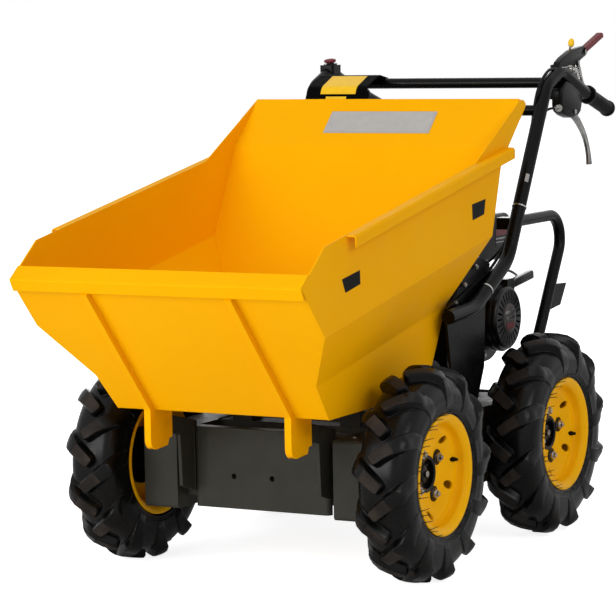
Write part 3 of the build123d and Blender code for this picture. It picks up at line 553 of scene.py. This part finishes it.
def rim_mesh(turn):
    """The rim with its dished disc, and hand holes cut by a boolean."""
    mesh = spun(rim_section, 96, closed=True)
    bmesh.ops.recalc_face_normals(mesh, faces=mesh.faces[:])
    cutter = bmesh.new()
    for number in range(hand_holes):
        angle = radians(first_hand_hole - turn + 360 / hand_holes * number)
        place = (-4, hand_hole_circle * cos(angle), hand_hole_circle * sin(angle))
        stud(cutter, place, (1, 0, 0), hand_hole_radius, 50, 28)
    halves = []
    for one, name in ((mesh, "rim_blank"), (cutter, "hole_cutter")):
        data = bpy.data.meshes.new(name)
        one.to_mesh(data)
        one.free()
        made = bpy.data.objects.new(name, data)
        bpy.context.scene.collection.objects.link(made)
        halves.append(made)
    cut = halves[0].modifiers.new("holes", "BOOLEAN")
    cut.object = halves[1]
    cut.solver = "EXACT"
    view = bpy.context.evaluated_depsgraph_get()
    view.update()
    result = bmesh.new()
    result.from_object(halves[0], view)
    for made in halves:
        data = made.data
        bpy.data.objects.remove(made)
        bpy.data.meshes.remove(data)
    bmesh.ops.remove_doubles(result, verts=result.verts[:], dist=0.001)
    return result


def wheel_nuts(turn):
    """Four nuts on their studs, each on a black washer whose black is also painted shade round the nut, the middle
    bolt and the valve.
    """
    mesh = bmesh.new()
    places = [Vector((disc_face, nut_circle * cos(angle), nut_circle * sin(angle)))
              for angle in (radians(turn + 90 * number) for number in range(4))]
    for place in places:
        stud(mesh, place, (1, 0, 0), 10.5, 8, 6, 9.6)
        stud(mesh, place, (1, 0, 0), 5.4, 13, 20, 4.6)
    stud(mesh, (5, 0, 0), (1, 0, 0), 7, 5, 6)
    soften(mesh, 0.5, 1)
    bright = set(mesh.faces)
    # black washers under the nuts; their black also stands for the painted shade round each nut
    for place in places:
        stud(mesh, place, (1, 0, 0), 15, 1.8, 28)
    angle = radians(turn + valve_turn)
    valve = Vector((14, valve_circle * cos(angle), valve_circle * sin(angle)))
    stud(mesh, valve, (1, 0, 0), 5.4, 12, 16, 4.4)
    stud(mesh, valve + Vector((12, 0, 0)), (1, 0, 0), 3.6, 6, 16, 3.2)
    for face in mesh.faces:
        face.material_index = 0 if face in bright else 1
    return mesh


# (distance outwards, radius) of the hub from its shaft's inner end, over the flange, to the recessed bore
hub_section = [
    (-108, 0), (-108, 12.5), (-40, 12.5), (-40, 24), (-6, 24), (-6, 56), (3.9, 56), (3.9, 35), (8.8, 35), (9.8, 34),
    (9.8, 29.6), (8.6, 28), (-1, 27), (-1, 17), (4, 16), (5, 14.6), (5, 0)]


def tyre_hairs(turn):
    """Moulding hairs that stand round the bead; the long ones all lean the same way, as if brushed."""
    mesh = bmesh.new()
    for number in range(hair_count):
        wobble = sin(number * 2.4)
        angle = radians(number * 360 / hair_count + 2.5 * wobble + turn)
        start = Vector((49.5, hair_root * cos(angle), hair_root * sin(angle)))
        if cos(angle) < 0.25:
            lean = Vector((0, 1, 0.08 * wobble)) * (24 + 5 * sin(number * 1.7))
        else:
            lean = Vector((0, -cos(angle), -sin(angle))) * 7
        hair = Vector((4.6, 0, 0)) + lean
        stud(mesh, start, hair, 0.9, hair.length, 6, 0.6)
    return mesh


def make_wheels():
    tyre = tyre_mesh()
    for name, side, y, tread_turn, rim_turn, nut_turn in wheels:
        body = f"wheel_{name}"
        shift = Vector((side * wheel_x, y, axle_height))
        tread = tyre.copy()
        bmesh.ops.rotate(tread, cent=(0, 0, 0), matrix=Matrix.Rotation(radians(tread_turn), 3, "X"),
                         verts=tread.verts[:])
        made = [
            (tread, f"tyre_bars_{name}", ("tyre_black", "lug_brown"), "tyre_black", (f"tyre_{name}",)),
            (rim_mesh(rim_turn), f"dished_rim_{name}", "rim_yellow", "rim_yellow", (f"rim_{name}",)),
            (wheel_nuts(nut_turn), f"wheel_nuts_{name}", ("lever_silver", "hub_black"), "pin_steel", ()),
            (spun(hub_section, 64), f"hub_ring_{name}", "hub_black", "hub_black", (f"hub_{name}",)),
            (tyre_hairs(tread_turn), f"tyre_hairs_{name}", "tyre_black", "tyre_black", ())]
        for mesh, label, finish, slot, stood in made:
            if side < 0 and mesh is not tread:
                mirrored(mesh)
            bmesh.ops.translate(mesh, vec=shift, verts=mesh.verts[:])
            finished(mesh, label, body, finish, stood)
    tyre.free()


# ---- skip ----
side_face_x = 305.3
# (y, z) corners of the black blocks on each side
stripe_blocks = [
    [(-580.5, 598.6), (-511.4, 609.4), (-510.4, 584.1), (-568.2, 573.4)],
    [(-41.2, 694.9), (20.9, 701.8), (13.1, 672), (-39.4, 663.9)]]
rib_x = 151.5
rib_half_width = 7.6
rib_slope = radians(48.5)
# distances up a rib at which its short weld beads start
rib_bead_starts = (38, 112, 190, 262)


def make_side_blocks():
    for side, name in ((1, "left"), (-1, "right")):
        mesh = bmesh.new()
        for corners in stripe_blocks:
            patch(mesh, [(side * side_face_x, y, z) for y, z in corners], 0.25)
        finished(mesh, f"side_blocks_{name}", "skip", "stripe_black")


def make_blank_plate():
    """A blank pale plate near the top of the back panel, with a raised middle."""
    slope = Vector((0, 98, 93)).normalized()
    out = Vector((0, -slope.z, slope.y))
    root = Vector((0, 95, 796)) + out * 3.2
    mesh = bmesh.new()
    # two edges up the slope, two edges along X, lift off the panel
    for low, high, start, end, lift in ((38, 99, -108.5, 133.5, 0), (41, 96, -105.5, 130.5, 0.3)):
        patch(mesh, [root + Vector((x, 0, 0)) + slope * along + out * lift
                     for x, along in ((start, low), (end, low), (end, high), (start, high))], 0.35)
    finished(mesh, "blank_plate", "skip", "label_pale")


def make_rib_welds():
    """Short weld beads along both feet of the front ribs."""
    mesh = bmesh.new()
    up = Vector((0, -cos(rib_slope), sin(rib_slope)))
    out = Vector((0, -sin(rib_slope), -cos(rib_slope)))
    for x in (-rib_x, rib_x):
        for side in (-1, 1):
            for along in rib_bead_starts:
                foot = Vector((x + side * rib_half_width, -495, 330)) + up * along + out * 0.6
                for step in range(7):
                    weld_drop(mesh, foot + up * (step * 4.2), 2.6)
    finished(mesh, "rib_welds", "skip", "skip_yellow", smooth=80)


# ---- controls ----
handle_x = 272
# (y, z) down the hood over the crossbar
hood_line = [(354.7, 934.3), (312.5, 916.3), (308.5, 914.1), (304.9, 911.1), (302, 907.5), (299.9, 903.2),
             (297.9, 897.9)]
# inner x, outer x, (y, z) outline and rounding of each plate of the lever's bracket
bracket_plates = [
    # the glossy perch below the left tube
    (256, 280, [(452, 902), (452, 868), (457, 855), (474, 847), (504, 840), (538, 842), (555, 851), (562, 870),
                (562, 892), (520, 912), (480, 920)], 5),
    # the web beside the tube
    (252, 257, [(454, 880), (504, 890), (504, 956), (458, 952)], 0.6),
    # the bent bracket above it
    (262, 277, [(445, 946), (452, 958), (474, 968), (516, 981), (578, 989.5), (602, 978), (588, 968), (562, 960),
                (547, 950), (508, 950.5), (470, 944)], 2.2)]
# two corners of each silver block between the left tube and the bent bracket
clamp_blocks = [
    ((264, 452, 934), (283, 474, 948)), ((266, 482, 940), (274, 540, 951)), ((262, 494, 930), (284, 512, 946)),
    ((268, 524, 918), (280, 538, 942))]
# place, direction, radius, length, sides and radius at the tip of the bolts and studs on those blocks
clamp_bolts = [
    ((275, 452, 942), (0, -1, -0.12), 6.4, 6, 6, 6.4), ((275, 446, 941.4), (0, -1, -0.12), 4, 12, 16, 3.2),
    ((274, 503, 940), (1, 0, 0), 7, 12, 6, 7), ((286, 503, 940), (1, 0, 0), 4, 3, 16, 3.4),
    ((274, 531, 930), (1, 0, 0), 6, 9, 6, 6), ((272, 486, 936), (0, 0.25, 1), 4.6, 12, 16, 4.6),
    ((277, 545, 955), (1, 0, 0), 5, 3, 6, 5), ((277, 585, 977), (1, 0, 0), 6, 3, 6, 6)]
# where a grip starts on its tube, and which way it runs
grip_start_y, grip_start_z = 602, 886.3
grip_run = (0, 122, -37.7)
tube_rise = (0, 0.5, 0.866)


def make_stop_button():
    """The stop button: a black foot with a red head."""
    mesh = spun([(0, 0), (0, 15), (2.5, 15.4), (4, 14), (4, 8.5), (7, 8), (7.5, 12.4), (10, 13.4), (12.5, 12.4),
                 (14, 8), (14.4, 0)], 40)
    turned_to(mesh, (-handle_x, 462, 955), (0, -0.16, 1))
    for face in mesh.faces:
        face.material_index = 1 if face.calc_center_median().z > 961.5 else 0
    finished(mesh, "stop_button", "chassis", ("control_black", "grip_red"))


def make_hood_labels():
    """Blank labels that follow the hood over the crossbar."""
    mesh = bmesh.new()
    for (y, z), (next_y, next_z) in zip(hood_line, hood_line[1:]):
        patch(mesh, [(-209, y, z), (-125, y, z), (-125, next_y, next_z), (-209, next_y, next_z)], 0.5)
    bmesh.ops.remove_doubles(mesh, verts=mesh.verts[:], dist=0.02)
    finished(mesh, "hood_label", "chassis", "label_yellow", smooth=60)
    mesh = bmesh.new()
    patch(mesh, [(-195, 295.9, 892.9), (-146, 295.9, 892.9), (-146, 291.7, 881.9), (-195, 291.7, 881.9)], 0.5)
    finished(mesh, "hood_small_label", "chassis", "label_yellow")


def make_lever_bracket():
    """The perch, the web and the bent bracket, and the perch's pivot bolt and cable screw."""
    mesh = bmesh.new()
    for inner, outer, outline, rounding in bracket_plates:
        part = bmesh.new()
        patch(part, [(inner, y, z) for y, z in outline], outer - inner)
        # A patch thickens to either side, so it is moved to lie between inner and outer.
        middle = sum(vertex.co.x for vertex in part.verts) / len(part.verts)
        bmesh.ops.translate(part, vec=((inner + outer) / 2 - middle, 0, 0), verts=part.verts[:])
        soften(part, rounding, 3, 25)
        join(mesh, part)
    finished(mesh, "lever_bracket", "chassis", "control_black", ("control_housing",))
    mesh = bmesh.new()
    stud(mesh, (270, 458, 862), (0.5, -1, 0), 8.4, 9, 24, 7.6)
    stud(mesh, (270, 452, 862), (0, -1, 0), 4.6, 16, 16, 3.6)
    stud(mesh, (280, 520, 852), (1, 0, 0), 6, 3, 6)
    soften(mesh, 0.6, 1)
    finished(mesh, "perch_bolts", "chassis", "lever_silver")


def make_clamp_parts():
    """The silver clamp between the left tube and the bent bracket, with its small lever."""
    mesh = bmesh.new()
    for low, high in clamp_blocks:
        block(mesh, low, high)
    soften(mesh, 1.6)
    for place, direction, radius, length, sides, tip in clamp_bolts:
        stud(mesh, place, direction, radius, length, sides, tip)
    # the coils of a short spring
    for step in range(5):
        stud(mesh, (276, 545 + step, 946 - step * 5), (0, 0.2, -1), 4.6, 2.6, 14)
    finished(mesh, "clamp_parts", "chassis", "lever_silver")
    rod("clamp_lever", [(276, 545, 952), (276, 554, 944), (277, 560, 926), (277, 570, 908), (277, 584, 900)], 3.8,
        "lever_silver", sizes=[1.2, 1, 0.9, 0.9, 1.1])


def make_choke():
    """The yellow knob over the bracket, on its stem."""
    mesh = bmesh.new()
    bmesh.ops.create_uvsphere(mesh, u_segments=24, v_segments=14, radius=1,
                              matrix=Matrix.Translation((264, 541, 996)) @ Matrix.Rotation(radians(-14), 4, "X")
                              @ Matrix.Diagonal((6.6, 7, 10, 1)))
    finished(mesh, "choke_knob", "chassis", "label_yellow", smooth=80)
    rod("choke_stem", [(264, 528, 972), (264, 531, 980), (264, 537, 990)], 2.2, "bolt_zinc")


def make_brake_lever():
    """The hand lever: a curved bar that thins to a rounded tip."""
    line = [(496, 853), (520, 850), (558, 828), (588, 800), (605, 770), (611, 748), (612, 736)]
    lever = rod("brake_lever", [(handle_x, y, z) for y, z in line], 6.2, "lever_silver",
                sizes=[1.1, 1.3, 1.2, 1, 0.9, 1, 1.1])
    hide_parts("hand_lever")


def make_grips():
    """Ribbed rubber grips with an end flange."""
    profile = [(0, 13.6), (0, 19), (1.4, 20), (9, 20), (12, 19), (14, 16.2)]
    for ridge in range(14):
        start = 18 + ridge * 6.6
        profile += [(start, 15.6), (start + 1.2, 16), (start + 4.4, 16), (start + 5.6, 15.6)]
    profile += [(112, 15.8), (114, 17.6), (119, 17.8), (123.5, 16), (126.6, 10), (127.4, 0)]
    mesh = bmesh.new()
    for x in (-handle_x, handle_x):
        join(mesh, turned_to(spun(profile, 40), (x, grip_start_y, grip_start_z), grip_run))
    finished(mesh, "ribbed_grips", "chassis", "grip_rubber", ("grips",), 30)


def make_cables():
    """Cables from the controls, behind the left tube, down to the drive, with two ties and a blank sticker."""
    rod("clutch_cable", [(272, 438, 942), (270, 420, 946), (269, 396, 936), (268, 372, 918), (264, 358, 892),
                         (258, 356, 850), (256, 340, 798), (256, 282, 700), (256, 226, 604), (250, 160, 548),
                         (226, 90, 510), (170, 52, 440), (150, 62, 372)], 3.2, "tube_black")
    rod("throttle_cable", [(270, 442, 862), (268, 424, 864), (260, 404, 856), (254, 388, 826), (254, 352, 770),
                           (254, 300, 684), (250, 250, 610), (240, 210, 575), (200, 230, 548), (140, 240, 548)],
        2.6, "tube_black")
    mesh = bmesh.new()
    for y, z, run, width in ((250, 668, tube_rise, 3), (86, 514, (0, 0.9, 0.44), 4)):
        join(mesh, turned_to(spun([(0, 13.8), (0, 15.2), (width, 15.2), (width, 13.8)], 32, closed=True),
                             (handle_x, y, z), run))
    finished(mesh, "cable_ties", "chassis", "lever_silver")
    run, out = Vector(tube_rise), Vector((0.62, -0.68, 0.39))
    across = run.cross(out)
    root = Vector((handle_x, 281, 722)) + out * 14.1
    mesh = bmesh.new()
    patch(mesh, [root + across * a * 4 + run * b * 9 for a, b in ((-1, -1), (1, -1), (1, 1), (-1, 1))], 0.5)
    finished(mesh, "tube_sticker", "chassis", "label_pale")


# ---- engine ----
# middle of the fan drum and the recoil cover
drum_y, drum_z = 345, 430
cover_screw_circle = 80
badge_x = 206
# (y, z) corners of the badge's two silver bands and of its red foot
badge_band_corners = [
    [(322, 440), (368, 440), (366, 446), (324, 446)], [(324, 428), (366, 428), (368, 434), (322, 434)]]
badge_foot_corners = [(330, 408), (360, 408), (366, 420), (324, 420)]


def make_drum_rings():
    """Rings round the fan drum."""
    mesh = bmesh.new()
    for x in (104, 112, 120, 128, 136, 144):
        join(mesh, turned_to(spun([(0, 90), (0, 93.4), (2.6, 93.4), (2.6, 90)], 72, closed=True),
                             (x, drum_y, drum_z), (1, 0, 0)))
    finished(mesh, "drum_rings", "chassis", "engine_plastic")


def make_badge():
    """The blank badge in the middle of the recoil cover, with plain bands."""
    mesh = turned_to(spun([(-6, 0), (-6, 31), (0, 31), (1.6, 30), (2.4, 27), (3, 14), (3.1, 0)], 48),
                     (203, drum_y, drum_z), (1, 0, 0))
    finished(mesh, "recoil_badge", "chassis", "label_dark")
    mesh = bmesh.new()
    for corners in badge_band_corners:
        patch(mesh, [(badge_x, y, z) for y, z in corners], 0.6)
    finished(mesh, "badge_bands", "chassis", "lever_silver")
    mesh = bmesh.new()
    patch(mesh, [(badge_x, y, z) for y, z in badge_foot_corners], 0.6)
    finished(mesh, "badge_foot", "chassis", "label_red")


def make_cover_screws():
    """Screws on the recoil cover, on the engine block's two faces and on its foot."""
    mesh = bmesh.new()
    for number in range(6):
        angle = radians(60 * number + 20)
        place = (150, drum_y + cover_screw_circle * cos(angle), drum_z + cover_screw_circle * sin(angle))
        stud(mesh, place, (1, 0, 0), 5.5, 5, 6)
    for y, z in ((275, 346), (420, 346), (275, 500), (420, 500)):
        stud(mesh, (100, y, z), (1, 0, 0), 6, 6, 6)
        stud(mesh, (-70, y, z), (-1, 0, 0), 6, 6, 6)
    for x in (-40, 60):
        for y in (300, 400):
            stud(mesh, (x, y, 324), (0, 0, 1), 7, 6, 6)
    soften(mesh, 0.5, 1)
    finished(mesh, "cover_screws", "chassis", "bolt_zinc")


def make_tank_panel():
    """A blank dark panel on the tank's left face, with a red band and two silver lines."""
    mesh = bmesh.new()
    # low edge, high edge, x of its face, which finish
    for low, high, x, finish in ((572, 624, 150, 0), (596, 608, 150.2, 1), (588, 591, 150.2, 2),
                                 (581, 583, 150.2, 2)):
        before = set(mesh.faces)
        patch(mesh, [(x, y, z) for y, z in ((398, low), (470, low), (470, high), (398, high))], 0.4)
        for face in set(mesh.faces) - before:
            face.material_index = finish
    finished(mesh, "tank_panel", "chassis", ("engine_plastic", "label_red", "label_pale"))


def make_links():
    """Throttle links between the tank and the recoil cover, and the plug lead."""
    rod("link_upper", [(160, 300, 528), (170, 360, 532), (182, 420, 520), (170, 470, 500)], 3, "bolt_zinc")
    rod("link_lower", [(150, 250, 520), (164, 300, 516), (168, 350, 524)], 2.6, "bolt_zinc")
    rod("plug_lead", [(20, 196, 520), (10, 178, 545), (-6, 190, 580), (-20, 240, 596), (-40, 280, 560)], 4,
        "engine_black")


def make_filter_knob():
    """The knob on top of the air filter."""
    mesh = turned_to(spun([(0, 14), (3, 15), (7, 15), (10, 12), (14, 11), (16, 7), (16.4, 0), (0, 0)], 32),
                     (70, 195, 622), (0, 0, 1))
    finished(mesh, "filter_knob", "chassis", "engine_plastic")


# ---- frame ----
flange_face_x = 252
flange_bolt_circle = 33
case_inner_x = 171
# (x, y), low z, high z and radius of the upright welds on each side
upright_welds = [
    ((147.4, -352), 158, 276, 2.4), ((case_inner_x, -340), 146, 270, 3), ((156, -340), 160, 286, 2.4),
    ((case_inner_x, 320), 146, 270, 3)]
# (y, z) outline and bolts of the dark side plates above the handle tubes' lower run
side_plate_outline = [
    (-58, 486), (-46, 496), (-8, 511), (14, 540), (72, 574), (104, 580), (150, 562), (140, 536), (60, 496), (0, 484)]
side_plate_bolts = [(76, 562), (22, 531), (-20, 499)]
side_plate_x = 252


def make_frame_welds():
    """Upright weld beads at the front and rear plates, and a short level one along each chain case."""
    mesh = bmesh.new()
    for side in (-1, 1):
        for (x, y), low, high, radius in upright_welds:
            weld_bead(mesh, (side * x, y, low), (side * x, y, high), radius)
        weld_bead(mesh, (side * case_inner_x, -215, 274), (side * case_inner_x, -165, 274), 3)
    finished(mesh, "frame_welds", "chassis", "frame_grey", smooth=80)


def make_frame_bolts():
    """Bolts of the bearing flanges, the chain cases' ends and their side faces."""
    mesh = bmesh.new()
    for side in (-1, 1):
        for y in (front_axle_y, rear_axle_y):
            for number in range(4):
                angle = radians(45 + 90 * number)
                place = (side * flange_face_x, y + flange_bolt_circle * cos(angle),
                         axle_height + flange_bolt_circle * sin(angle))
                stud(mesh, place, (side, 0, 0), 6.4, 5, 6)
        stud(mesh, (side * 198, -340, 272), (0, -1, 0), 6, 5, 6)
        for y in (-20, 20):
            stud(mesh, (side * 258, y, 300), (side, 0, 0), 7.4, 5, 6)
            stud(mesh, (side * 263, y, 300), (side, 0, 0), 4, 4, 16)
    soften(mesh, 0.6, 1)
    finished(mesh, "frame_bolts", "chassis", "bolt_zinc")


def make_side_plates():
    """The dark side plates with three bolts each."""
    plates, bolts = bmesh.new(), bmesh.new()
    for side in (-1, 1):
        patch(plates, [(side * side_plate_x, y, z) for y, z in side_plate_outline], 4 * side)
        for y, z in side_plate_bolts:
            stud(bolts, (side * 255, y, z), (side, 0, 0), 5.2, 4, 6)
            stud(bolts, (side * 259, y, z), (side, 0, 0), 3, 2, 16)
    finished(plates, "side_plates", "chassis", "engine_black")
    finished(bolts, "side_plate_bolts", "chassis", "lever_silver")


camera()
studio_world()
lamp("key", (-1.3, -5.0, 1.9), (3.4, 2.2), 138)
lamp("fill", (4.0, -1.8, 2.6), (2.4, 1.2), 42)
lamp("top", (0.4, -0.6, 4.2), (3.2, 3.2), 22)
lamp("streak", (-2.7, -4.6, 0.5), (0.35, 1.5), 18)
lamp("rear", (-1.8, 4.2, 1.5), (2.0, 1.4), 22)
dress_nodes()
make_wheels()
make_side_blocks()
make_blank_plate()
make_rib_welds()
make_stop_button()
make_hood_labels()
make_lever_bracket()
make_clamp_parts()
make_choke()
make_brake_lever()
make_grips()
make_cables()
make_drum_rings()
make_badge()
make_cover_screws()
make_tank_panel()
make_links()
make_filter_knob()
make_frame_welds()
make_frame_bolts()
make_side_plates()
studio_floor()

scene_view = bpy.context.scene.view_settings
scene_view.view_transform = "Standard"
